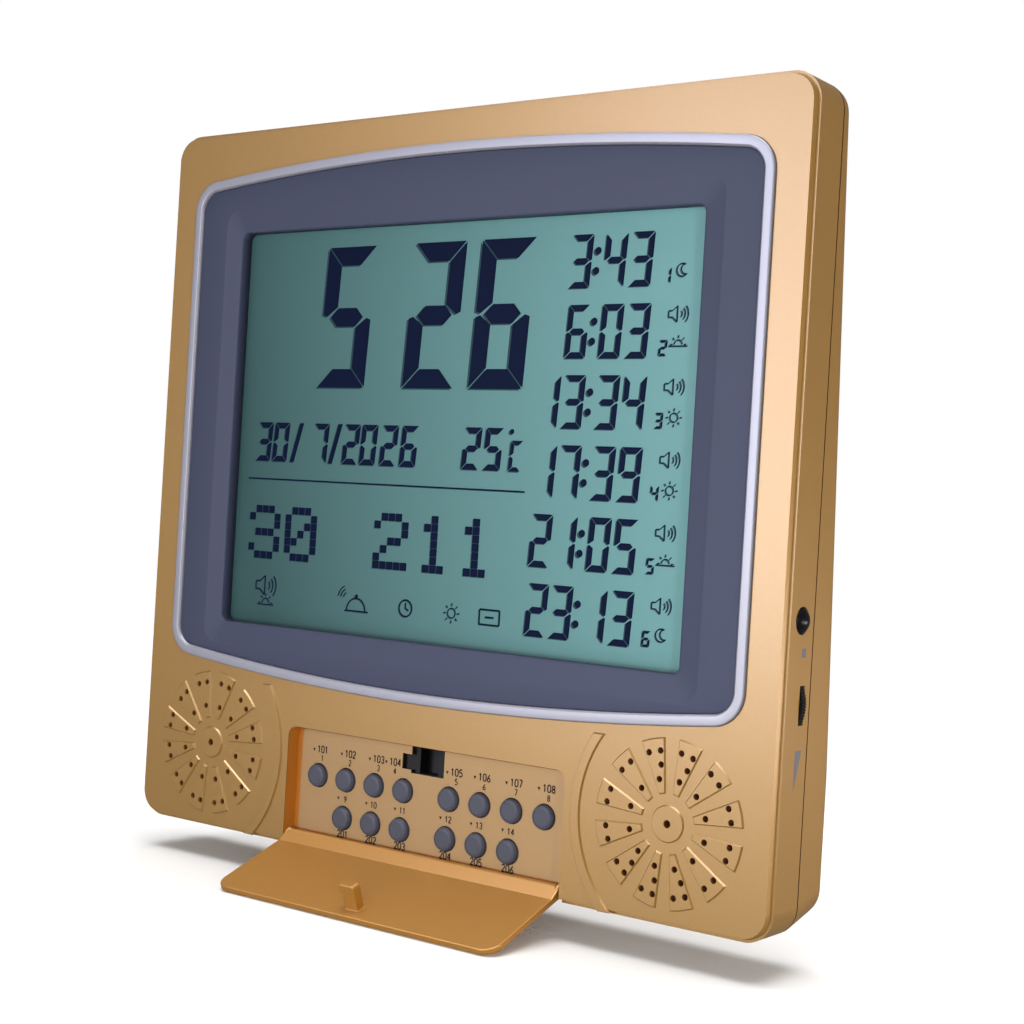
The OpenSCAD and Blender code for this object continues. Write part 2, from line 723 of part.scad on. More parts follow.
module key_board() hung() color(board_green) {
    along_y(key_board_y, keypad_back) keypad_layer(1);
    // spacers that hold the board off the mat
    for (x = [-1, 1], z = [keypad_bottom + 2, recess_top - 2])
        rod_y(1, rim_y + key_rim_t, key_board_y + eps, x * (keypad_w / 2 - 3.5), z);
}

// a key is a round rubber cap with a flat top, a bevelled edge and a rim behind the floor
module key(i) hung() color(key_grey) {
    p = key_spots()[i];
    r = key_d / 2;
    front = keypad_depth - key_proud;
    edge = 0.7;
    translate([p[0], 0, p[1]]) rotate([-90, 0, 0]) rotate_extrude()
        polygon([[0, front], [r - 1.5 * edge, front], [r - 0.5 * edge, front + 0.35 * edge],
                 [r, front + 1.3 * edge], [r, rim_y + 0.05], [r + key_rim, rim_y + 0.05],
                 [r + key_rim, rim_y + key_rim_t], [0, rim_y + key_rim_t]]);
}
module key_01() key(0);
module key_02() key(1);
module key_03() key(2);
module key_04() key(3);
module key_05() key(4);
module key_06() key(5);
module key_07() key(6);
module key_08() key(7);
module key_09() key(8);
module key_10() key(9);
module key_11() key(10);
module key_12() key(11);
module key_13() key(12);
module key_14() key(13);

module key_ribbon() hung() color("gainsboro") {
    t = ribbon_t;
    y0 = keypad_back;
    y1 = board_y + board_t;
    z_low = recess_top - 5;
    z_turn = recess_top + 8;
    z_top = window_z - holder_h / 2;
    translate([ribbon_x, 0, 0]) rotate([90, 0, 90]) linear_extrude(ribbon_w) polygon([
        [y0, z_low], [y0 + t, z_low], [y0 + t, z_turn], [y1 + t, z_top - 6], [y1 + t, z_top + 5],
        [y1, z_top + 5], [y1, z_top - 6 + t], [y0, z_turn + t]
    ]);
}

// ---- door, drawn shut and turned open about its hinge
module shut_door() {
    w = door_w;
    top = hinge_z + door_len;
    y0 = hinge_y - door_t;
    along_y(y0, hinge_y) union() {
        translate([-w / 2, hinge_z]) square([w, door_len - door_corner_r]);
        translate([-w / 2 + door_corner_r, hinge_z]) square([w - 2 * door_corner_r, door_len]);
        for (x = [-1, 1]) translate([x * (w / 2 - door_corner_r), top - door_corner_r]) circle(r = door_corner_r);
    }
    rod_x(barrel_r, -w / 2, w / 2, hinge_y, hinge_z);
    for (s = [-1, 1]) {
        rod_x(ear_r, min(s * w / 2, s * (w / 2 - ear_w)), max(s * w / 2, s * (w / 2 - ear_w)), hinge_y, hinge_z);
    }
    rod_x(pin_r, -w / 2 - pin_len, w / 2 + pin_len, hinge_y, hinge_z);
    // ramp from the rolled edge to the inner face, tangent to the rolled edge
    turn = acos(barrel_r / ramp_l);
    translate([-w / 2, hinge_y, hinge_z]) rotate([90, 0, 90]) linear_extrude(w)
        polygon([[-0.2, 0], [0, 0], [barrel_r * sin(turn), barrel_r * cos(turn)], [0, ramp_l], [-0.2, ramp_l]]);
    // hook with an overhanging head, drawn from the inner face upwards
    x0 = -hook_w / 2;
    x1 = hook_w / 2;
    h = hook_h;
    translate([0, hinge_y, hinge_z + hook_pos + hook_l / 2]) rotate([180, 0, 0]) mirror([0, 1, 0])
        linear_extrude(hook_l) polygon([
            [x0, -0.2], [x1, -0.2], [x1, h - 1], [x1 - 0.2, h - 0.4], [x1 - 0.7, h],
            [x0 - 0.5, h], [hook_left + 0.2, h - 0.3], [hook_left, h - 0.9],
            [hook_left, h - hook_head + 0.6], [x0, h - hook_head]
        ]);
}

module keypad_door() hung() color(gold_door) {
    translate([0, hinge_y, hinge_z]) rotate([door_open, 0, 0]) translate([0, -hinge_y, -hinge_z]) shut_door();
}

module latch_catch() hung() color(black) difference() {
    y1 = box_front - box_wall - slip;
    z0 = recess_top - latch_h - 0.8;
    block(-latch_w / 2 - 3.8, latch_w / 2 + 1, rim_y, y1, z0, recess_top + 0.8);
    block(hook_left - 0.5, hook_w / 2 + 0.5, rim_y - 1, hinge_y + hook_h + 0.2, z0 + 0.9, recess_top - 0.4);
}

// ---- side controls
module stop_button() hung() color(black) {
    r = stop_d / 2;
    big = (r * r + stop_proud * stop_proud) / (2 * stop_proud);
    inner = side_x - stop_inner_x;
    translate([side_x, stop_y, stop_z]) rotate([0, 90, 0]) rotate_extrude() {
        intersection() {
            translate([0, stop_proud - big]) circle(r = big, $fn = 180);
            square([r, 2 * stop_proud]);
        }
        translate([0, -inner]) square([r, inner]);
        translate([0, -inner - slip]) square([r + flange_extra, flange_t]);
    }
}

module stop_switch() hung() color(black) {
    x1 = stop_inner_x - slip - stop_travel - 0.2;
    block(x1 - switch_l, x1 - 0.2, stop_y - switch_w / 2, side_board_y, stop_z - switch_w / 2, stop_z + switch_w / 2);
    rod_x(1.6, x1 - 0.2 - eps, x1 + stop_travel * 0.2, stop_y, stop_z);
}

module volume_wheel() hung() color(black) difference() {
    rod_y(wheel_d / 2, wheel_y - wheel_t / 2, wheel_y + wheel_t / 2, wheel_x, wheel_z);
    for (k = [0 : wheel_ridges - 1])
        translate([wheel_x, 0, wheel_z]) rotate([0, k * 360 / wheel_ridges, 0])
            translate([wheel_d / 2, wheel_y - wheel_t, 0]) rotate([0, 45, 0])
                translate([-ridge_depth, 0, -ridge_depth]) cube([2 * ridge_depth, 2 * wheel_t, 2 * ridge_depth]);
    rod_y(post_r + running, wheel_y - wheel_t, wheel_y + wheel_t, wheel_x, wheel_z);
}

module volume_control() hung() color(steel) {
    rod_y(pot_r, wheel_y + wheel_t / 2 + slip, side_board_y, wheel_x, wheel_z);
    rod_y(post_r, wheel_y - wheel_t / 2 - 0.6, side_board_y, wheel_x, wheel_z);
}

module side_board() hung() color(board_green) {
    block(side_board_x - side_board_w / 2, side_board_x + side_board_w / 2, side_board_y,
          side_board_y + side_board_t, side_board_z - side_board_h / 2, side_board_z + side_board_h / 2);
}

// ---- speakers
module speaker_basket(s) hung() color(steel) translate([s * speaker_x, wall, speaker_z]) rotate([-90, 0, 0])
    rotate_extrude() polygon([
        [speaker_r - 2.5, 0], [speaker_r, 0], [speaker_r, 1.2], [speaker_r - 1.5, 1.2],
        [magnet_r + 1, basket_depth], [3.5, basket_depth], [3.5, basket_depth - 1],
        [magnet_r, basket_depth - 1], [speaker_r - 2.5, 1.2]
    ]);

module speaker_cone(s) hung() color("dimgray") translate([s * speaker_x, wall, speaker_z]) rotate([-90, 0, 0])
    rotate_extrude() polygon([
        [0, 2.4], [4, 2.4], [speaker_r - 3.2, 0.4], [speaker_r - 2.55, 0.4], [speaker_r - 2.55, 0.8],
        [speaker_r - 3.4, 0.9], [4.2, 3], [3.2, 3], [3.2, basket_depth + 1.5], [2.6, basket_depth + 1.5], [2.6, 3], [0, 3]
    ]);

module speaker_magnet(s) hung() color("gray") translate([s * speaker_x, wall, speaker_z]) rotate([-90, 0, 0])
    rotate_extrude() polygon([
        [3.5, basket_depth], [magnet_r, basket_depth], [magnet_r, basket_depth + magnet_depth],
        [0, basket_depth + magnet_depth], [0, basket_depth + 0.4], [2.3, basket_depth + 0.4],
        [2.3, basket_depth + magnet_depth - 1.4], [3.5, basket_depth + magnet_depth - 1.4]
    ]);
module left_speaker_basket() speaker_basket(-1);
module left_speaker_cone() speaker_cone(-1);
module left_speaker_magnet() speaker_magnet(-1);
module right_speaker_basket() speaker_basket(1);
module right_speaker_cone() speaker_cone(1);
module right_speaker_magnet() speaker_magnet(1);

// ---- batteries and their cover
// a cell lies along X with its button end towards +X, or towards -X when flip is -1
module cell(side, row, flip) hung() color("goldenrod") {
    mid = side * cell_len / 2;
    z = box_z + row_pitch * (row + 0.5);
    rod_x(cell_d / 2, mid - cell_len / 2 + (flip > 0 ? 0.1 : 1.2), mid + cell_len / 2 - (flip > 0 ? 1.2 : 0.1), cell_y, z);
    rod_x(2.6, mid + flip * (cell_len / 2 - 0.7) - 0.6, mid + flip * (cell_len / 2 - 0.7) + 0.6, cell_y, z);
}
module battery_1() cell(-1, 0, 1);
module battery_2() cell(1, 0, 1);
module battery_3() cell(-1, 1, -1);
module battery_4() cell(1, 1, -1);

// springs press on the flat ends, plates meet the buttons
module battery_springs() hung() color(steel) {
    wire = 0.45;
    step = (contact_room + 0.1 - 0.4 - 2 * wire) / 4;
    for (row = [0, 1]) {
        s = row == 0 ? -1 : 1;
        z = box_z + row_pitch * (row + 0.5);
        translate([s * box_w / 2, cell_y, z]) rotate([0, -s * 90, 0]) {
            translate([-5, -5, 0]) cube([10, 10, 0.4]);
            rotate_extrude() for (k = [0 : 4])
                translate([4.4 - k * 0.45, 0.4 + wire * 0.9 + k * step]) circle(r = wire, $fn = 24);
        }
    }
}

module battery_plates() hung() color(steel) {
    for (row = [0, 1]) {
        s = row == 0 ? 1 : -1;
        z = box_z + row_pitch * (row + 0.5);
        translate([s * box_w / 2, cell_y, z]) rotate([0, -s * 90, 0]) {
            translate([-5, -5, 0]) cube([10, 10, 0.4]);
            cylinder(r = 3, h = contact_room - 0.1);
        }
    }
}

module battery_cover() hung() color(gold) {
    w = cover_w / 2 - slip;
    difference() {
        union() {
            along_y(case_depth - cover_t, case_depth) intersection() {
                cover_outline(-slip);
                translate([-case_w, pivot_z]) square([2 * case_w, case_h]);
            }
            rod_x(cover_t / 2, -w, w, pivot_y, pivot_z);
            rod_x(pivot_r, -w - pivot_len, w + pivot_len, pivot_y, pivot_z);
        }
        // finger notch at the top
        translate([0, case_depth + 5.4, cover_bottom + cover_h - 5]) rotate([0, 90, 0])
            cylinder(r = 6, h = 16, center = true);
    }
}

// ---- screws and wiring
module case_screws() hung() color(steel) for (p = pillar_spots) {
    y = pillar_top + screw_seat;
    difference() {
        union() {
            rod_y(screw_r, pillar_top - 8, y + eps, p[0], p[1]);
            rod_y(screw_head_r, y, y + screw_head_t, p[0], p[1]);
        }
        for (a = [0, 90]) translate([p[0], y + screw_head_t, p[1]]) rotate([0, a, 0])
            cube([3, 1.6, 0.6], center = true);
    }
}

// a pair of leads: up from the speaker's magnet, then along and up to the main board
module speaker_leads(s) hung() color("firebrick") for (k = [0, 1]) {
    r = lead_r;
    y = board_y + board_t + r;
    z0 = speaker_z + magnet_r - 0.5 * k;
    z1 = speaker_z + speaker_r + 4 - 2 * k;
    x0 = s * (speaker_x - 4 * k);
    x1 = s * lead_x[k];
    rod_z(r, x0, y, z0, z1);
    rod_x(r, min(x0, x1), max(x0, x1), y, z1);
    translate([x0, y, z1]) sphere(r = r, $fn = 24);
    translate([x1, y, z1]) sphere(r = r, $fn = 24);
    rod_z(r, x1, y, z1, lead_top);
}
module rod_z(r, x, y, z0, z1) translate([x, y, z0]) cylinder(r = r, h = z1 - z0);
module left_speaker_leads() speaker_leads(-1);
module right_speaker_leads() speaker_leads(1);

module battery_leads() hung() color("black") for (s = [-1, 1]) {
    rod_z(lead_r, s * (box_w / 2 - 8), board_y + board_t + lead_r, box_z + box_h + box_wall, lead_top);
}

front_case();
rear_cover();
trim_ring();
display_bezel();
lcd_panel();
lcd_reflector();
lcd_holder();
strip_connectors();
main_board();
board_parts();
keypad_sheet();
key_mat();
key_board();
key_ribbon();
key_01();
key_02();
key_03();
key_04();
key_05();
key_06();
key_07();
key_08();
key_09();
key_10();
key_11();
key_12();
key_13();
key_14();
keypad_door();
latch_catch();
stop_button();
stop_switch();
volume_wheel();
volume_control();
side_board();
left_speaker_basket();
left_speaker_cone();
left_speaker_magnet();
right_speaker_basket();
right_speaker_cone();
right_speaker_magnet();
battery_1();
battery_2();
battery_3();
battery_4();
battery_springs();
battery_plates();
battery_cover();
case_screws();
board_screws();
left_speaker_leads();
right_speaker_leads();
battery_leads();
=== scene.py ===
import bpy
import json
import math
from mathutils import Matrix, Vector


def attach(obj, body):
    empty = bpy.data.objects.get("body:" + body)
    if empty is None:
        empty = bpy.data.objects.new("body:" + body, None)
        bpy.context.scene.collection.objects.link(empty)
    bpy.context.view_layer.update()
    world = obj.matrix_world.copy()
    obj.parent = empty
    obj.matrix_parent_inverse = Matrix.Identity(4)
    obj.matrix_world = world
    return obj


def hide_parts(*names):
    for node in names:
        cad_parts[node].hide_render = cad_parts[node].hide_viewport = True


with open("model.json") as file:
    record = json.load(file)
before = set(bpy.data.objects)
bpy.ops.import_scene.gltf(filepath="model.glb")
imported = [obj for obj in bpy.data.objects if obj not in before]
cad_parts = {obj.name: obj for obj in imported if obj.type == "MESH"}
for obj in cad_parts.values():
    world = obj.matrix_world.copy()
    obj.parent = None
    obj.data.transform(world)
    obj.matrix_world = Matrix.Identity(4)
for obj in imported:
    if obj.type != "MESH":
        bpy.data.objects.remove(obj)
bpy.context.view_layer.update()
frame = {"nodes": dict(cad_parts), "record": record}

# ------------------------------------------------------------------ sizes, in mm, in the clock's own frame:
# X right, Y into the clock from its front face, Z up from its base
MM = 0.001
HANG_Z = 196
CASE_H = 217
CASE_DEPTH = 29.1
SEAM_Y = 14.3
SEAM_GAP = 0.4
BACK_UPRIGHT_H = 40
REAR_TOP_DEPTH = 4.35
BACK_SLOPE = (CASE_DEPTH - SEAM_Y - SEAM_GAP - REAR_TOP_DEPTH) / (CASE_H - BACK_UPRIGHT_H)
HANG_Y = CASE_DEPTH - (HANG_Z - BACK_UPRIGHT_H) * BACK_SLOPE
RECESS_HALF = 50.5
RECESS_TOP = 35.3
RECESS_R = 3
SPEAKER_X = 82.8
SPEAKER_Z = 26.2
nodes = frame["nodes"]


def row(x, y, z):
    """A point of the clock's own frame as a point of the row frame, in metres."""
    return Vector((x * MM, (y - HANG_Y) * MM, (z - HANG_Z) * MM))


# ------------------------------------------------------------------ camera
LENS = 61.35
EYE = row(310.55, -385.2, 104.2)
RIGHT = Vector((0.8046, 0.5909, 0.0587))
DOWN = Vector((0.0484, 0.0332, -0.9983))
AHEAD = Vector((-0.5918, 0.8061, -0.0019))
cam_data = bpy.data.cameras.new("camera")
cam_data.lens = LENS
cam_data.sensor_width = 36
cam_data.clip_start = 0.01
camera = bpy.data.objects.new("camera", cam_data)
bpy.context.scene.collection.objects.link(camera)
turn = Matrix((RIGHT, -DOWN, -AHEAD)).transposed()
camera.matrix_world = Matrix.Translation(EYE) @ turn.to_4x4()
bpy.context.scene.camera = camera


# ------------------------------------------------------------------ materials
def srgb(r, g, b):
    """A colour given as 0-255 sRGB, as linear light."""
    return tuple((c / 255 / 12.92) if c <= 10 else ((c / 255 + 0.055) / 1.055) ** 2.4 for c in (r, g, b)) + (1,)


def material(name, colour, rough=0.5, metal=0.0, coat=0.0, coat_rough=0.1, spec=0.5):
    m = bpy.data.materials.new(name)
    m.use_nodes = True
    b = m.node_tree.nodes["Principled BSDF"]
    b.inputs["Base Color"].default_value = colour
    b.inputs["Roughness"].default_value = rough
    b.inputs["Metallic"].default_value = metal
    b.inputs["Coat Weight"].default_value = coat
    b.inputs["Coat Roughness"].default_value = coat_rough
    b.inputs["Specular IOR Level"].default_value = spec
    return m


def add(m, kind, **values):
    n = m.node_tree.nodes.new(kind)
    for key, value in values.items():
        if hasattr(n, key):
            setattr(n, key, value)
        else:
            n.inputs[key].default_value = value
    return n


def link(m, a, b):
    m.node_tree.links.new(a, b)


def grain(m, size, bump=0.0, rough=0.0, tint=0.0):
    """Fine noise of that size in metres on the bump, the roughness and the colour."""
    b = m.node_tree.nodes["Principled BSDF"]
    co = add(m, "ShaderNodeTexCoord")
    noise = add(m, "ShaderNodeTexNoise", Scale=1 / size, Detail=2.0, Roughness=0.6)
    link(m, co.outputs["Object"], noise.inputs["Vector"])
    if bump:
        bm = add(m, "ShaderNodeBump", Strength=bump, Distance=0.0001)
        link(m, noise.outputs["Fac"], bm.inputs["Height"])
        link(m, bm.outputs["Normal"], b.inputs["Normal"])
    if rough:
        mr = add(m, "ShaderNodeMapRange")
        base = b.inputs["Roughness"].default_value
        mr.inputs["To Min"].default_value = base - rough
        mr.inputs["To Max"].default_value = base + rough
        link(m, noise.outputs["Fac"], mr.inputs["Value"])
        link(m, mr.outputs["Result"], b.inputs["Roughness"])
    if tint:
        colour = b.inputs["Base Color"].default_value[:]
        mix = add(m, "ShaderNodeMix", data_type="RGBA")
        mix.inputs["A"].default_value = tuple(c * (1 - tint) for c in colour[:3]) + (1,)
        mix.inputs["B"].default_value = tuple(min(1, c * (1 + tint)) for c in colour[:3]) + (1,)
        link(m, noise.outputs["Fac"], mix.inputs["Factor"])
        link(m, mix.outputs["Result"], b.inputs["Base Color"])
    return m


def between(m, axis, low, high):
    """1 where the coordinate lies between low and high (mm in the clock's own frame), else 0."""
    shift = {"X": 0, "Y": HANG_Y, "Z": HANG_Z}[axis]
    place = add(m, "ShaderNodeTexCoord")
    parts = add(m, "ShaderNodeSeparateXYZ")
    link(m, place.outputs["Object"], parts.inputs["Vector"])
    both = add(m, "ShaderNodeMath", operation="MULTIPLY")
    for k, (operation, limit) in enumerate((("GREATER_THAN", low), ("LESS_THAN", high))):
        test = add(m, "ShaderNodeMath", operation=operation)
        link(m, parts.outputs[axis], test.inputs[0])
        test.inputs[1].default_value = (limit - shift) * MM
        link(m, test.outputs[0], both.inputs[k])
    return both.outputs[0]


def zone(m, colour, **spans):
    """Repaints the base colour inside a box, given by its spans along X, Y and Z in mm."""
    masks = [between(m, axis, *span) for axis, span in spans.items()]
    inside = masks[0]
    for other in masks[1:]:
        product = add(m, "ShaderNodeMath", operation="MULTIPLY")
        link(m, inside, product.inputs[0])
        link(m, other, product.inputs[1])
        inside = product.outputs[0]
    mix = add(m, "ShaderNodeMix", data_type="RGBA")
    link(m, inside, mix.inputs["Factor"])
    base = m.node_tree.nodes["Principled BSDF"].inputs["Base Color"]
    if base.is_linked:
        link(m, base.links[0].from_socket, mix.inputs["A"])
    else:
        mix.inputs["A"].default_value = base.default_value
    mix.inputs["B"].default_value = colour
    link(m, mix.outputs["Result"], base)


def display_material():
    """Painted reflection: darker at the display's left, lighter towards its upper right, along X plus a quarter of
    Z.
    """
    m = material("lcd_glass", srgb(100, 145, 140), rough=0.4, spec=0.05)
    place = add(m, "ShaderNodeTexCoord")
    parts = add(m, "ShaderNodeSeparateXYZ")
    link(m, place.outputs["Object"], parts.inputs["Vector"])
    slant = add(m, "ShaderNodeMath", operation="MULTIPLY_ADD")
    link(m, parts.outputs["Z"], slant.inputs[0])
    slant.inputs[1].default_value = 0.25
    link(m, parts.outputs["X"], slant.inputs[2])
    share = add(m, "ShaderNodeMapRange")
    link(m, slant.outputs[0], share.inputs["Value"])
    share.inputs["From Min"].default_value = -0.10
    share.inputs["From Max"].default_value = 0.105
    # painted reflection: the display turns from the darker to the lighter colour towards its upper right
    mix = add(m, "ShaderNodeMix", data_type="RGBA")
    mix.inputs["A"].default_value = srgb(49, 75, 76)
    mix.inputs["B"].default_value = srgb(101, 147, 148)
    link(m, share.outputs["Result"], mix.inputs["Factor"])
    link(m, mix.outputs["Result"], m.node_tree.nodes["Principled BSDF"].inputs["Base Color"])
    return m


GOLD = srgb(131, 98, 45)
PAINT = dict(rough=0.45, metal=0.3, coat=0.55, coat_rough=0.32, spec=0.16)
gold = grain(material("gold_paint", GOLD, **PAINT), 0.0004, bump=0.12, tint=0.09)
# the recess round the keypad in a more orange tone; painted shade, near black, in the latch opening in its floor;
# painted shade, dark brown, on the walls of the grille holes
zone(gold, srgb(172, 106, 31), X=(-RECESS_HALF - 0.2, RECESS_HALF + 0.2), Z=(-1, RECESS_TOP + 0.1), Y=(0.3, 6))
# painted shade: the walls of the latch opening in the recess floor are made near black
zone(gold, srgb(30, 20, 14), X=(-9.6, 6.2), Z=(26.5, RECESS_TOP + 0.1), Y=(4.3, 6))
# painted shade: the walls of the grille holes are made dark brown
for middle in (-83, 83):
    zone(gold, srgb(110, 55, 30), X=(middle - 24, middle + 24), Z=(3, 50), Y=(0.1, 3))
back_gold = grain(material("gold_paint_rear", GOLD, **PAINT), 0.0004, bump=0.12, tint=0.09)
# painted shade in the groove between the two shells: the rear cover's lip inside it is made dark brown
zone(back_gold, srgb(60, 30, 14), Y=(10, SEAM_Y + SEAM_GAP + 0.12))
sheet_gold = grain(material("keypad_print", srgb(136, 105, 60), rough=0.5, metal=0.3), 0.0004, bump=0.08, tint=0.05)
door_gold = grain(material("door_paint", srgb(152, 104, 31), rough=0.45, metal=0.3, coat=0.3, coat_rough=0.25),
                  0.0005, bump=0.1, tint=0.05)
silver = grain(material("silver_trim", srgb(123, 122, 131), rough=0.45, metal=0.3, coat=0.3, coat_rough=0.32,
                        spec=0.12), 0.0004, bump=0.05)
slate = grain(material("slate_bezel", srgb(57, 61, 81), rough=0.5, spec=0.08), 0.0003, bump=0.12, tint=0.04)
rubber = grain(material("key_rubber", srgb(63, 65, 77), rough=0.5, spec=0.15), 0.0004, bump=0.1, tint=0.05)
black = material("black_gloss", srgb(12, 11, 16), rough=0.25, spec=0.12)
dull_black = grain(material("black_dull", srgb(6, 6, 8), rough=0.6, spec=0.2), 0.0005, bump=0.1)
steel = grain(material("steel", srgb(170, 170, 175), rough=0.3, metal=1.0), 0.0005, rough=0.05)
white = material("white_plastic", srgb(215, 215, 210), rough=0.5)
pink = material("connector_rubber", srgb(205, 140, 140), rough=0.6)
board = grain(material("solder_mask", srgb(20, 84, 48), rough=0.4), 0.002, tint=0.15)
chip = material("chip_plastic", srgb(24, 24, 26), rough=0.5)
paper = grain(material("cone_paper", srgb(38, 36, 36), rough=0.8), 0.0006, bump=0.3, tint=0.2)
iron = grain(material("magnet", srgb(58, 58, 62), rough=0.6, metal=0.4), 0.001, tint=0.1)
wrap = material("cell_wrap", srgb(150, 118, 40), rough=0.3, metal=0.4)
red_wire = material("wire_red", srgb(160, 20, 20), rough=0.45)
black_wire = material("wire_black", srgb(20, 20, 20), rough=0.45)
ribbon = material("ribbon", srgb(205, 205, 205), rough=0.4)
print_ink = material("print_ink", srgb(24, 20, 18), rough=0.6, spec=0.1)
lcd = display_material()
segment_ink = material("lcd_segment", srgb(4, 14, 40), rough=0.5, spec=0.02)
shade_ink = material("lcd_segment_shade", srgb(36, 56, 64), rough=0.5, spec=0.03)

COATS = {
    "case_paint": gold, "keypad_print": sheet_gold, "door_paint": door_gold, "trim": silver,
    "bezel_plastic": slate, "lcd_glass": lcd, "white_plastic": white, "connector_rubber": pink,
    "board": board, "chip": chip, "key_rubber": rubber, "black_plastic": black, "steel": steel,
    "cone_paper": paper, "magnet": iron, "cell_wrap": wrap, "wire_red": red_wire,
    "wire_black": black_wire, "ribbon": ribbon,
}
SLOT = {s["node"]: s["material_slot"] for s in frame["record"]["subparts"]}


def coat(o, m):
    o.data.materials.clear()
    o.data.materials.append(m)


for name, o in nodes.items():
    coat(o, COATS[SLOT[name]])
coat(nodes["rear_cover"], back_gold)
coat(nodes["battery_cover"], back_gold)
coat(nodes["latch_catch"], dull_black)
coat(nodes["volume_wheel"], dull_black)

# the CAD meshes come with their faces apart, so they are joined before their edges are rounded
for name in ("keypad_door", "battery_cover"):
    weld = nodes[name].modifiers.new("join", "WELD")
    weld.merge_threshold = 0.001 * MM
    bevel = nodes[name].modifiers.new("edges", "BEVEL")
    bevel.width = 0.3 * MM
    bevel.segments = 2
    bevel.limit_method = "ANGLE"
    bevel.angle_limit = math.radians(50)
    bevel.use_clamp_overlap = False
    bevel.harden_normals = True


# ------------------------------------------------------------------ building pieces from points in mm
def piece(name, verts, faces, mat, body="case", smooth=False, slot=None):
    """A mesh from points in mm, which rides on that body."""
    me = bpy.data.meshes.new(name)
    me.from_pydata([row(*v) for v in verts], [], faces)
    me.validate()
    me.update()
    o = bpy.data.objects.new(name, me)
    bpy.context.scene.collection.objects.link(o)
    me.materials.append(mat)
    if smooth:
        me.shade_smooth()
    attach(o, body)
    return o


EDGE_STEPS = 40
CORNER_STEPS = 14


def bowed_loop(inset, half_w=103.0, half_h=80.0, bow=830.0, corner=9.5, mid=127.0):
    """Points (x, z) round the trim ring's outline, drawn inset: bowed top and bottom, straight sides.

    bow is the radius of the bowed edges, corner that of the corners, mid the height of the ring's middle.
    """
    w = half_w - inset
    h = half_h - inset
    big = bow - inset
    r = max(0.5, corner - inset)
    cx = w - r
    cz = h - big + math.sqrt((big - r) ** 2 - cx * cx)
    a = math.asin(cx / (big - r))
    quarter = []
    for i in range(EDGE_STEPS // 2 + 1):
        t = a * i / (EDGE_STEPS // 2)
        quarter.append((big * math.sin(t), h - big + big * math.cos(t)))
    for i in range(1, CORNER_STEPS + 1):
        t = math.pi / 2 - a - (math.pi / 2 - a) * i / CORNER_STEPS
        quarter.append((cx + r * math.cos(t), cz + r * math.sin(t)))
    return mirror_quarter(quarter, cz, mid)


def rect_loop(half_w, half_h, r, mid):
    """Points (x, z) round a rounded rectangle, in step with bowed_loop."""
    cx, cz = half_w - r, half_h - r
    quarter = [(cx * i / (EDGE_STEPS // 2), half_h) for i in range(EDGE_STEPS // 2 + 1)]
    for i in range(1, CORNER_STEPS + 1):
        t = math.pi / 2 * (1 - i / CORNER_STEPS)
        quarter.append((cx + r * math.cos(t), cz + r * math.sin(t)))
    return mirror_quarter(quarter, cz, mid)


def mirror_quarter(quarter, cz, mid):
    """The whole outline from its upper right quarter, whose corner starts at the height cz above the middle."""
    side = [(quarter[-1][0], cz * (1 - i / 10)) for i in range(1, 10)] + [(quarter[-1][0], 0)]
    q = quarter + side
    ring = q + [(x, -z) for x, z in reversed(q[:-1])]
    ring += [(-x, -z) for x, z in q[1:]] + [(-x, z) for x, z in reversed(q[1:-1])]
    return [(x, z + mid) for x, z in ring]


def loft(name, loops, mat, slot, close=False):
    """A smooth surface through loops, each given as (points, depth), joined one to the next."""
    verts, faces = [], []
    n = len(loops[0][0])
    for pts, y in loops:
        verts += [(x, y, z) for x, z in pts]
    count = len(loops)
    for k in range(count if close else count - 1):
        a, b = k * n, ((k + 1) % count) * n
        for i in range(n):
            j = (i + 1) % n
            faces.append((a + i, a + j, b + j, b + i))
    return piece(name, verts, faces, mat, smooth=True, slot=slot)


# ------------------------------------------------------------------ sloping edges of the raised forms
PETALS = 12
PETAL_H = 0.5
PETAL_START = 8.0
PETAL_END = 21.7
PETAL_FOOT_HALF = 0.7
PETAL_TIP_HALF = 3.217
DISC_R = 4.5
RIB_X = 90.5
RIB_INNER_R = 35.1
RIB_OUTER_R = 37.5
RIB_UP = 20.2
RIB_DROP = 45.8
RIB_H = 0.6
SKIRT = 0.36
skirt_verts, skirt_faces = [], []


def spread(pts, d):
    """The closed outline pts, drawn counterclockwise, moved outwards by d."""
    out = []
    for k, (x, z) in enumerate(pts):
        (xa, za), (xb, zb) = pts[k - 1], pts[(k + 1) % len(pts)]
        a, b = math.hypot(x - xa, z - za), math.hypot(xb - x, zb - z)
        n1 = ((z - za) / a, -(x - xa) / a)
        n2 = ((zb - z) / b, -(xb - x) / b)
        share = d / max(0.4, 1 + n1[0] * n2[0] + n1[1] * n2[1])
        out.append((x + (n1[0] + n2[0]) * share, z + (n1[1] + n2[1]) * share))
    return out


def skirt(pts, height):
    """A slope round a raised outline, from its upper edge down to the front face."""
    area = sum(pts[k - 1][0] * pts[k][1] - pts[k][0] * pts[k - 1][1] for k in range(len(pts)))
    if area < 0:
        pts = pts[::-1]
    base, n = len(skirt_verts), len(pts)
    skirt_verts.extend((x, -height, z) for x, z in pts)
    skirt_verts.extend((x, -0.01, z) for x, z in spread(pts, SKIRT))
    skirt_faces.extend((base + i, base + n + i, base + n + (i + 1) % n, base + (i + 1) % n) for i in range(n))


def at(radius, degrees):
    """The point at that distance and angle, counterclockwise from the +X side."""
    return radius * math.cos(math.radians(degrees)), radius * math.sin(math.radians(degrees))


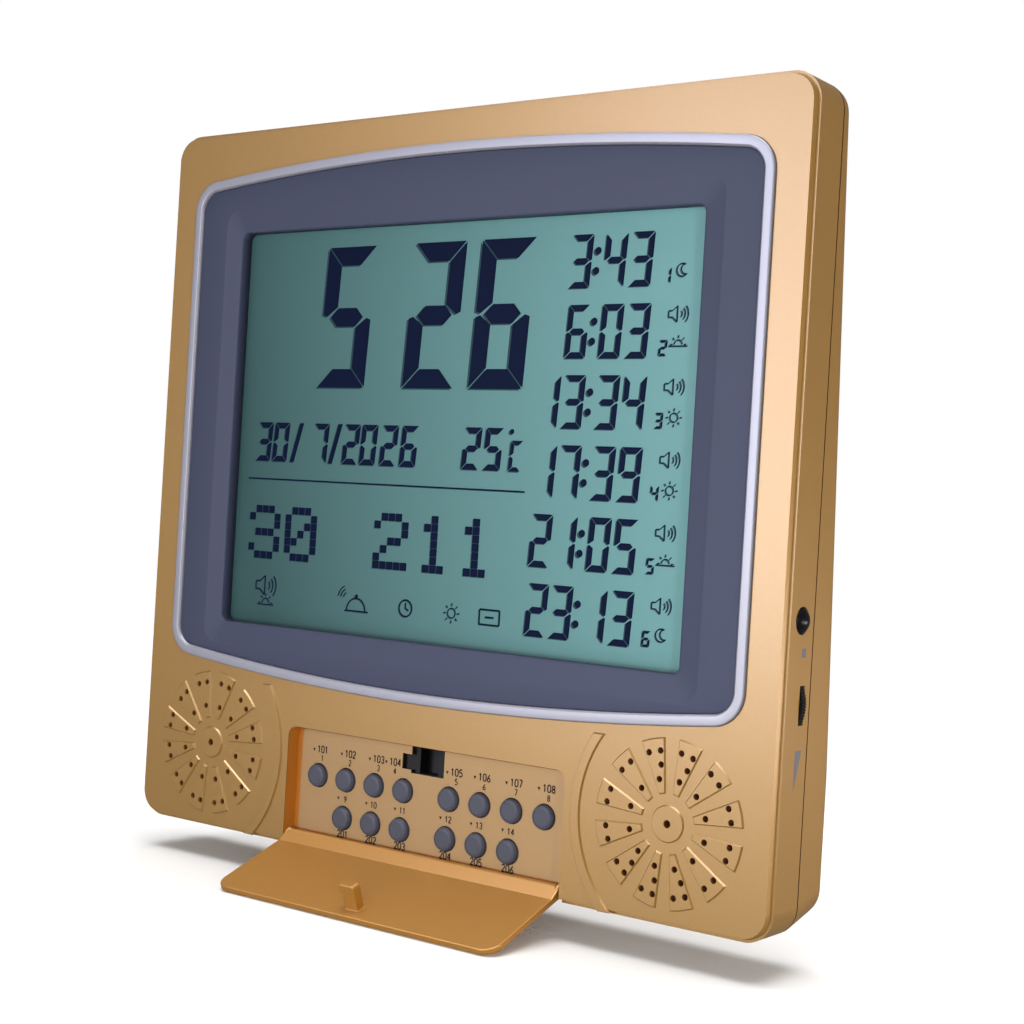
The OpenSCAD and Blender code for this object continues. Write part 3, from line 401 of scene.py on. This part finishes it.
def petal(angle):
    """Outline of one petal whose middle lies at that angle from the top, in degrees."""
    half = math.degrees(math.asin(PETAL_TIP_HALF / PETAL_END))
    tip = [at(PETAL_END, 90 - half + half * k / 4) for k in range(9)]
    c, d = at(1, angle)
    foot = [(-PETAL_FOOT_HALF, PETAL_START), (PETAL_FOOT_HALF, PETAL_START)]
    return [(x * c - z * d, x * d + z * c) for x, z in foot + tip]


def rib_edge(side, r, n=30):
    """Points of a rib's edge from its upper to its lower end."""
    heights = [RIB_UP - RIB_DROP * k / n for k in range(n + 1)]
    return [(side * (RIB_X - math.sqrt(r * r - h * h)), SPEAKER_Z + h) for h in heights]


grille_shapes = [petal(15 + 360 / PETALS * k) for k in range(PETALS)] + [[at(DISC_R, 5 * k) for k in range(72)]]
for side in (-1, 1):
    for shape in grille_shapes:
        skirt([(x + side * SPEAKER_X, z + SPEAKER_Z) for x, z in shape], PETAL_H)
    skirt(rib_edge(side, RIB_INNER_R) + rib_edge(side, RIB_OUTER_R)[::-1], RIB_H)
piece("raised_edges", skirt_verts, skirt_faces, gold, slot="case_paint")


def recess_line(d):
    """The recess's edge moved inwards by d, from its upper left corner to the foot of its right side."""
    cx, cz = RECESS_HALF - RECESS_R, RECESS_TOP - RECESS_R
    corner = [at(RECESS_R - d, 90 - 10 * k) for k in range(10)]
    return [(-cx, RECESS_TOP - d)] + [(cx + x, cz + z) for x, z in corner] + [(RECESS_HALF - d, 5.0)]


# the shadow line inside the upper and right edges of the keypad recess
outer, inner = recess_line(0.01), recess_line(0.2)
line_verts = [(x, 0.02, z) for x, z in outer] + [(x, 0.35, z) for x, z in inner]
line_faces = [(k, k + 1, len(outer) + k + 1, len(outer) + k) for k in range(len(outer) - 1)]
edge_shadow = material("edge_shadow", srgb(92, 60, 30), rough=0.6, spec=0.1)
piece("recess_edge", line_verts, line_faces, edge_shadow, slot="case_paint")

# ------------------------------------------------------------------ trim ring and bezel
# the ring's section as (inset from its outline, depth), from its outer foot over its flat front to its inner foot
RING = [(0.15, 2.1), (0.15, -0.5), (0.18, -0.68), (0.27, -0.82), (0.4, -0.9), (0.6, -0.92), (2.55, -0.92),
        (2.68, -0.9), (2.78, -0.84), (3.08, -0.54), (3.15, -0.44), (3.2, -0.3), (3.2, 0.6), (3.2, 2.1)]
ring = loft("ring_trim", [(bowed_loop(i), y) for i, y in RING], silver, "trim", close=True)
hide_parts("trim_ring")

# the bezel falls in two steps from the ring to the window, whose middle is at this height
WIN_MID = 124.6
bezel_loops = [(bowed_loop(3.3), 2.1), (bowed_loop(3.3), 0.15), (bowed_loop(3.4), 0.04), (bowed_loop(3.6), 0.0),
               (rect_loop(89.4, 67.8, 5.4, WIN_MID), 0.0), (rect_loop(88.9, 67.3, 5.0, WIN_MID), 0.02),
               (rect_loop(88.5, 66.9, 4.7, WIN_MID), 0.12), (rect_loop(88.1, 66.5, 4.4, WIN_MID), 0.2),
               (rect_loop(83.5, 61.1, 2.8, WIN_MID), 0.78), (rect_loop(83.1, 60.7, 2.6, WIN_MID), 0.86),
               (rect_loop(82.85, 60.45, 2.45, WIN_MID), 1.0), (rect_loop(82.8, 60.4, 2.4, WIN_MID), 1.25),
               (rect_loop(82.8, 60.4, 2.4, WIN_MID), 4.88), (rect_loop(84.8, 62.4, 3.0, WIN_MID), 4.88),
               (rect_loop(84.8, 62.4, 3.0, WIN_MID), 2.2)]
bezel = loft("bezel", bezel_loops, slate, "bezel_plastic")
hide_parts("display_bezel")

# ------------------------------------------------------------------ display figures
GLASS = 4.9
INK_Y = GLASS - 0.03
SHADE_Y = GLASS - 0.015
ink_faces = {INK_Y: ([], []), SHADE_Y: ([], [])}


def flat(depth, pts):
    verts, faces = ink_faces[depth]
    base = len(verts)
    verts += [(x, depth, z) for x, z in pts]
    faces.append(tuple(range(base, base + len(pts))))


def figure(pts, shade=(-0.55, -0.35)):
    """A dark shape on the glass with its paler shadow, moved by shade, just behind it."""
    flat(INK_Y, pts)
    flat(SHADE_Y, [(x + shade[0], z + shade[1]) for x, z in pts])


SEGMENTS = {"0": "abcdef", "1": "bc", "2": "abged", "3": "abgcd", "4": "fgbc", "5": "afgcd",
            "6": "afgecd", "7": "abc", "8": "abcdefg", "9": "abcdfg", "C": "afed"}


def digit(ch, x0, z0, w, h, t, slant=0.075, gap=0.22, shade=(-0.5, -0.3)):
    """A slanted seven-segment figure. x0 and z0 are its lower left corner, t the thickness of a bar."""
    half, g = h / 2, gap
    bars = {
        "a": [(g, h), (w - g, h), (w - t - g, h - t), (t + g, h - t)],
        "d": [(g, 0), (t + g, t), (w - t - g, t), (w - g, 0)],
        "f": [(0, h - g), (t, h - t - g), (t, half + t / 2 + g), (t * 0.3, half + g), (0, half + g + t * 0.1)],
        "b": [(w, h - g), (w, half + g + t * 0.1), (w - t * 0.3, half + g), (w - t, half + t / 2 + g),
              (w - t, h - t - g)],
        "e": [(0, g), (0, half - g - t * 0.1), (t * 0.3, half - g), (t, half - t / 2 - g), (t, t + g)],
        "c": [(w, g), (w - t, t + g), (w - t, half - t / 2 - g), (w - t * 0.3, half - g), (w, half - g - t * 0.1)],
        "g": [(t * 0.5 + g, half), (t + g, half + t / 2), (w - t - g, half + t / 2), (w - t * 0.5 - g, half),
              (w - t - g, half - t / 2), (t + g, half - t / 2)],
    }
    for s in SEGMENTS[ch]:
        figure([(x0 + x + slant * z, z0 + z) for x, z in bars[s]], shade)


def disc(x, z, r, n=14):
    figure([(x + r * math.cos(-2 * math.pi * k / n), z + r * math.sin(-2 * math.pi * k / n)) for k in range(n)])


# the large figures, the date and the temperature
BIG_Z = 137.4
BIG = dict(w=19.0, h=42.2, t=5.6, slant=0.055, gap=0.28, shade=(-0.7, -0.4))
for ch, x in (("5", -52.0), ("2", -18.3), ("6", 6.2)):
    digit(ch, x, BIG_Z, **BIG)

DATE_Z = 114.5
DATE = dict(w=6.2, h=12.0, t=1.75, slant=0.075, gap=0.16, shade=(-0.4, -0.25))
for ch, x in (("3", -75.9), ("0", -68.9), ("7", -52.6), ("2", -40.2), ("0", -33.3), ("2", -25.4), ("6", -17.8),
              ("2", 5.2), ("5", 12.8)):
    digit(ch, x, DATE_Z, **DATE)
DATE_TOP = DATE_Z + DATE["h"]
for x in (-61.3, -45.6):
    figure([(x, DATE_Z), (x + 1.7, DATE_Z), (x + 5.2, DATE_TOP), (x + 3.5, DATE_TOP)], shade=DATE["shade"])
digit("C", 21.9, DATE_Z, w=4.2, h=8.6, t=1.2, gap=0.14)
disc(22.6, 125.6, 0.75)
figure([(-78.4, 108.8), (-78.4, 109.25), (28.1, 109.25), (28.1, 108.8)], shade=(0, -0.15))

# the column of six times
TIME_ROW_Z = [164.9 - 19.07 * k for k in range(6)]
TIMES = [" 3:43", " 6:03", "13:34", "17:39", "21:05", "23:13"]
TIME = dict(w=6.9, h=14.6, t=1.75, slant=0.06, gap=0.2, shade=(-0.4, -0.25))
for text, z in zip(TIMES, TIME_ROW_Z):
    for ch, x in zip(text[:2] + text[3:], (30.5, 38.6, 49.6, 58.0)):
        if ch != " ":
            digit(ch, x, z, **TIME)
    disc(47.9, z + 10.0, 1.05)
    disc(47.5, z + 4.6, 1.05)

# dot-matrix figures, five columns and seven rows
DOTS = {"3": "01110 10001 00001 01110 00001 10001 01110", "0": "01110 10001 10011 10101 11001 10001 01110",
        "2": "01110 10001 00001 00110 01000 10000 11111", "1": "00100 01100 00100 00100 00100 00100 01110"}


def matrix(ch, x0, z1, cw=2.64, rh=2.36):
    """A dot-matrix figure. x0 and z1 are its upper left corner, cw and rh the size of a dot."""
    for r, bits in enumerate(DOTS[ch].split()):
        for c, bit in enumerate(bits):
            if bit == "1":
                x, z = x0 + c * cw, z1 - r * rh
                figure([(x, z), (x + cw - 0.2, z), (x + cw - 0.2, z - rh + 0.12), (x, z - rh + 0.12)],
                       shade=(-0.3, -0.2))


for ch, x in (("3", -76.7), ("0", -61.5), ("2", -25.6), ("1", -9.4), ("1", 5.6)):
    matrix(ch, x, 100.8)


def line_quads(pts, width):
    """A line of that width through the points, as one quad per stretch."""
    for (xa, za), (xb, zb) in zip(pts, pts[1:]):
        dx, dz = xb - xa, zb - za
        d = math.hypot(dx, dz) or 1
        ux, uz = -dz / d * width / 2, dx / d * width / 2
        yield [(xa + ux, za + uz), (xb + ux, zb + uz), (xb - ux, zb - uz), (xa - ux, za - uz)]


def stroke(pts, width):
    """A thin line on the glass."""
    for quad in line_quads(pts, width):
        figure(quad, shade=(-0.3, -0.2))


def arc(x, z, r, a0, a1, n=10):
    """Points on a circle round (x, z), from the angle a0 to a1 in degrees."""
    return [(x + dx, z + dz) for dx, dz in (at(r, a0 + (a1 - a0) * k / n) for k in range(n + 1))]


def speaker_icon(x, z, s=1.0):
    """A small loudspeaker with three sound waves."""
    horn = [(0, -0.9), (1.2, -0.9), (2.8, -2.2), (2.8, 2.2), (1.2, 0.9), (0, 0.9), (0, -0.9)]
    stroke([(x + dx * s, z + dz * s) for dx, dz in horn], 0.32 * s)
    for r in (1.3, 2.3, 3.3):
        stroke(arc(x + 3.0 * s, z, r * s, -42, 42, 8), 0.32 * s)


def sun_icon(x, z, s=1.0, low=False):
    """A small sun, or half of one on a line when it stands low."""
    stroke(arc(x, z, 1.4 * s, 0, 180 if low else 360, 16), 0.35 * s)
    for a in range(0, 181 if low else 360, 45):
        c, d = at(s, a)
        stroke([(x + 2.0 * c, z + 2.0 * d), (x + 2.9 * c, z + 2.9 * d)], 0.35 * s)
    if low:
        stroke([(x - 3.4 * s, z - 0.5 * s), (x + 3.4 * s, z - 0.5 * s)], 0.35 * s)


def moon_icon(x, z, s):
    """A small crescent."""
    stroke(arc(x, z, 1.9 * s, 60, 320, 14) + arc(x + 1.1 * s, z + 0.25 * s, 1.5 * s, 290, 90, 10), 0.35 * s)


for k, z in enumerate(TIME_ROW_Z):
    digit(str(k + 1), 68.6, z + 0.6, w=2.5, h=4.2, t=0.65, slant=0.06, gap=0.08, shade=(-0.3, -0.2))
    if k:
        speaker_icon(71.2, z + 11.6, 0.95)
    if k in (0, 5):
        moon_icon(74.6, z + 4.0, 0.9)
    else:
        sun_icon(74.6, z + 3.6, 0.85, low=k in (1, 4))
# the signs along the lower edge: loudspeaker over a low sun, ringing bell, clock, sun, frame
speaker_icon(-72.4, 76.2, 1.35)
sun_icon(-68.0, 70.8, low=True)
for r in (1.4, 2.5, 3.5):
    stroke(arc(-34.6, 75.0, r, 110, 175, 7), 0.4)
stroke(arc(-31.0, 71.4, 3.6, 0, 180, 14), 0.45)
stroke([(-35.4, 71.2), (-26.2, 71.2)], 0.45)
disc(-31.0, 75.6, 0.6)
stroke(arc(-12.0, 73.6, 2.4, 0, 360, 20), 0.5)
stroke([(-12.0, 75.2), (-12.0, 73.6), (-10.8, 73.0)], 0.45)
sun_icon(5.0, 73.6)
stroke([(15.0, 71.4), (15.0, 75.6), (22.0, 75.6), (22.0, 71.4), (15.0, 71.4)], 0.45)
stroke([(17.0, 73.5), (20.0, 73.5)], 0.45)
piece("display_figures", *ink_faces[INK_Y], segment_ink, slot="lcd_glass")
piece("display_figure_shade", *ink_faces[SHADE_Y], shade_ink, slot="lcd_glass")

# ------------------------------------------------------------------ print on the keypad sheet and the side
PRINT_Y = 4.38
print_verts, print_faces = [], []


def printed(pts):
    base = len(print_verts)
    print_verts.extend((x, PRINT_Y, z) for x, z in pts)
    print_faces.append(tuple(range(base, base + len(pts))))


NUMERAL_PITCH = 1.45
# plain numerals drawn as strokes in a box one wide and two high
STROKES = {
    "0": [arc(0.5, 1.5, 0.5, 0, 180, 6) + arc(0.5, 0.5, 0.5, 180, 360, 6) + [(1.0, 1.5)]],
    "1": [[(0.1, 1.55), (0.5, 2.0), (0.5, 0.0)]],
    "2": [arc(0.5, 1.5, 0.5, 170, -30, 7) + [(0.0, 0.0), (1.0, 0.0)]],
    "3": [arc(0.5, 1.5, 0.5, 150, -90, 7), arc(0.5, 0.5, 0.5, 90, -150, 7)],
    "4": [[(0.75, 0.0), (0.75, 2.0), (0.0, 0.6), (1.05, 0.6)]],
    "5": [[(0.95, 2.0), (0.15, 2.0), (0.05, 1.1)] + arc(0.45, 0.6, 0.6, 110, -140, 8)],
    "6": [[(0.8, 2.0), (0.1, 0.85)] + arc(0.5, 0.5, 0.5, 150, -210, 12)],
    "7": [[(0.0, 2.0), (1.0, 2.0), (0.35, 0.0)]],
    "8": [arc(0.5, 1.5, 0.45, 0, 360, 10), arc(0.5, 0.5, 0.5, 0, 360, 10)],
    "9": [arc(0.5, 1.5, 0.5, -30, 330, 12) + [(0.2, 0.0)]],
}


def centred(text, x, z, size):
    """Numerals, each as wide as size, with their middle at x and their foot at z."""
    x -= (NUMERAL_PITCH * (len(text) - 1) + 1) * size / 2
    for ch in text:
        for line in STROKES[ch]:
            for quad in line_quads([(x + px * size, z + pz * size) for px, pz in line], size * 0.4):
                printed(quad)
        x += size * NUMERAL_PITCH


def pointer(x, z):
    """A small triangle that points down to a key."""
    printed([(x - 0.5, z + 0.45), (x + 0.5, z + 0.45), (x, z - 0.5)])


KEY_PITCH = 11
KEY_START = 8.4


def key_row(count, z, shift=0):
    """Middles of a row of keys from left to right, count on each side of the clock's middle."""
    return sorted((side * (KEY_START + KEY_PITCH * k) + shift, z) for side in (-1, 1) for k in range(count))


# the upper row has two lines above each key, moved aside at the latch opening, the lower row one above and
# one below
for k, (x, z) in enumerate(key_row(4, 21.2)):
    shift = {3: -3.6, 4: 2.2}.get(k, 1.1)
    pointer(x + shift - 3.4, z + 7.4)
    centred(str(101 + k), x + shift, z + 6.8, 1.0)
    centred(str(k + 1), x + shift, z + 4.4, 0.8)
for k, (x, z) in enumerate(key_row(3, 9.9, shift=-0.5)):
    pointer(x - 2.2, z + 5.6)
    centred(str(k + 9), x + 0.6, z + 4.7, 0.85)
    centred(str(201 + k), x + 0.2, z - 5.7, 1.0)
piece("keypad_figures", print_verts, print_faces, print_ink, slot="keypad_print")

# volume wedge and stop mark, just outside the right side wall
MARK_X = 113.27
mark_ink = material("wedge_ink", srgb(74, 74, 84), rough=0.5)
piece("volume_wedge", [(MARK_X, 8.1, 48.1), (MARK_X, 11.5, 48.1), (MARK_X, 8.2, 37.6)], [(0, 1, 2)], mark_ink,
      slot="keypad_print")
piece("stop_mark", [(MARK_X, 8.8, 73.6), (MARK_X, 11.0, 73.6), (MARK_X, 11.0, 71.4), (MARK_X, 8.8, 71.4)],
      [(0, 3, 2, 1)], mark_ink, slot="keypad_print")

# ------------------------------------------------------------------ floor and light
# the floor lies just under the open door
FLOOR_Z = -10.2
FLOOR_HALF = 6000
corners = [row(x * FLOOR_HALF, y * FLOOR_HALF, FLOOR_Z) for x, y in ((-1, -1), (1, -1), (1, 1), (-1, 1))]
floor_me = bpy.data.meshes.new("floor")
floor_me.from_pydata(corners, [], [(0, 1, 2, 3)])
floor = bpy.data.objects.new("floor", floor_me)
bpy.context.scene.collection.objects.link(floor)
floor_me.materials.append(material("floor", srgb(255, 255, 255), rough=0.9))
floor.visible_glossy = False

bpy.context.scene.view_settings.view_transform = "Standard"
# the sky lights the clock softly, and the camera sees it white
SKY_LIGHT = 0.2
SKY_SEEN = 1.0
world = bpy.data.worlds.new("world")
bpy.context.scene.world = world
world.use_nodes = True
sky = world.node_tree
background = sky.nodes["Background"]
background.inputs["Color"].default_value = (1, 1, 1, 1)
ray = sky.nodes.new("ShaderNodeLightPath")
level = sky.nodes.new("ShaderNodeMapRange")
level.inputs["To Min"].default_value = SKY_LIGHT
level.inputs["To Max"].default_value = SKY_SEEN
sky.links.new(ray.outputs["Is Camera Ray"], level.inputs["Value"])
sky.links.new(level.outputs["Result"], background.inputs["Strength"])


def area_light(name, place, target, size, power, diffuse=True, glossy=True, colour=(1, 1, 1)):
    """A lamp at place, aimed at target (both in mm), with its size in metres."""
    data = bpy.data.lights.new(name, "AREA")
    data.shape = "RECTANGLE"
    data.size, data.size_y = size
    data.energy = power
    data.color = colour
    o = bpy.data.objects.new(name, data)
    bpy.context.scene.collection.objects.link(o)
    o.location = row(*place)
    aim = row(*target) - o.location
    o.rotation_euler = aim.to_track_quat("-Z", "Y").to_euler()
    o.visible_diffuse = diffuse
    o.visible_glossy = glossy
    o.visible_camera = False


area_light("fill", (300, -700, 150), (20, 0, 90), (0.3, 0.3), 1.65, glossy=False)
area_light("softbox", (-318, -792, 270), (20, 0, 110), (0.25, 0.44), 7, diffuse=False, colour=(0.94, 0.97, 1.15))
area_light("strip", (900, -650, 220), (0, 0, 60), (0.08, 0.5), 3.5)
area_light("overhead", (-60, -330, 740), (-60, -330, 0), (1.0, 0.6), 7, diffuse=False)
area_light("rim", (260, -200, 900), (260, 0, 30), (0.9, 0.3), 12, diffuse=False)
area_light("low_box", (-250, -792, 45), (0, 0, 20), (0.5, 0.1), 3.4, diffuse=False)
area_light("low_fill", (40, -240, 10), (0, 0, 10), (0.3, 0.03), 0.27, glossy=False)
area_light("side_fill", (420, 150, 25), (113, 14, 20), (0.3, 0.05), 0.9, colour=(1, 0.9, 0.8))
top = bpy.data.lights.new("top", "SUN")
top.energy = 2.68
top.angle = math.radians(50)
top_object = bpy.data.objects.new("top", top)
bpy.context.scene.collection.objects.link(top_object)
